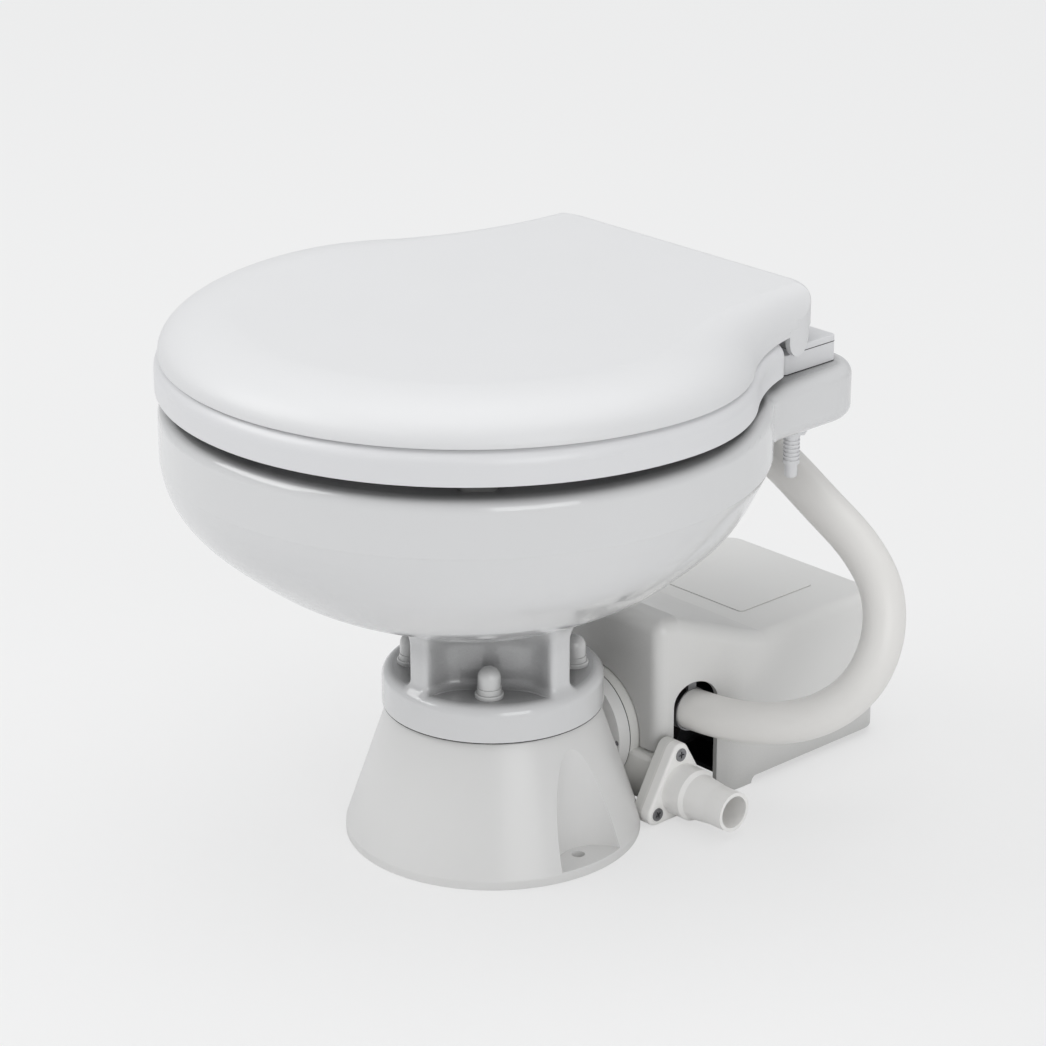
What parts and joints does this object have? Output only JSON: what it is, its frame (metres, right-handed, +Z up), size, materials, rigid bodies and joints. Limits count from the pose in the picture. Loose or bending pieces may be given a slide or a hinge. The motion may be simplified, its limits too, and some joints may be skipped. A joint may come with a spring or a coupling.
{
  "type": "electric marine toilet",
  "caption": "Compact electric marine toilet: round ceramic bowl on a conical base, hinged seat and lid, covered macerator pump and motor, rinse hose and side discharge spigot.",
  "frame": {"origin": "centre of the base on the floor", "axes": "+Z up, the front of the bowl at -Y, the discharge spigot at +X"},
  "size_m": [0.364, 0.4793, 0.336],
  "materials": {
    "ceramic": "gloss",
    "base_plastic": "satin",
    "seat_plastic": "gloss",
    "lid_plastic": "gloss",
    "bumper_rubber": "matte",
    "rubber": "matte",
    "nut_plastic": "gloss",
    "steel": "satin",
    "hose_rubber": "satin",
    "pump_plastic": "satin",
    "discharge_plastic": "satin",
    "brass": "satin",
    "copper": "satin",
    "laminations": "satin",
    "motor_paint": "satin",
    "cover_plastic": "satin"
  },
  "bodies": {
    "root": {"base": "base_plastic", "bowl_gasket": "rubber", "bowl": "ceramic", "bowl_bolts": "steel", "bowl_washers": "nut_plastic", "bowl_cap_nuts": "nut_plastic", "hinge_block_right": "seat_plastic", "hinge_block_left": "seat_plastic", "hinge_cap_right": "seat_plastic", "hinge_cap_left": "seat_plastic", "hinge_pin_right": "steel", "hinge_pin_left": "steel", "hinge_stud_right": "seat_plastic", "hinge_stud_left": "seat_plastic", "hinge_nut_right": "seat_plastic", "hinge_nut_left": "seat_plastic", "rinse_hose": "hose_rubber", "inlet_seal": "rubber", "inlet_elbow": "pump_plastic", "hose_clamps": "steel", "volute_gasket": "rubber", "volute_housing": "pump_plastic", "seal_plate": "pump_plastic", "housing_screws": "steel", "pump_body": "pump_plastic", "shaft_seal": "rubber", "pump_cam": "brass", "pump_end_plate": "brass", "joker_valve": "rubber", "discharge_flange": "discharge_plastic", "flange_screws": "steel", "front_bell": "motor_paint", "motor_can": "motor_paint", "end_cap": "motor_paint", "bearings": "steel", "magnets": "laminations", "brush_card": "rubber", "brushes": "rubber", "motor_bolts": "steel", "motor_bracket": "steel", "motor_cover": "cover_plastic", "cover_screws": "steel", "cable_grommet": "rubber"},
    "seat": {"seat": "seat_plastic", "seat_bumpers": "bumper_rubber"},
    "lid": {"lid": "lid_plastic", "lid_bumpers": "bumper_rubber"},
    "rotor": {"shaft": "steel", "chopper_plate": "steel", "impeller": "pump_plastic", "flexible_impeller": "rubber", "armature": "laminations", "commutator": "copper"}
  },
  "joints": [
    {"name": "seat_lift", "type": "hinge", "parent": "root", "child": "seat", "pos_m": [0, 0.153, 0.322], "axis": [-1, 0, 0], "range_deg": [0, 90]},
    {"name": "lid_lift", "type": "hinge", "parent": "seat", "child": "lid", "pos_m": [0, 0.153, 0.322], "axis": [-1, 0, 0], "range_deg": [0, 90]},
    {"name": "motor_spin", "type": "hinge", "parent": "root", "child": "rotor", "pos_m": [0, 0.15, 0.043], "axis": [0, 1, 0], "continuous": true}
  ]
}
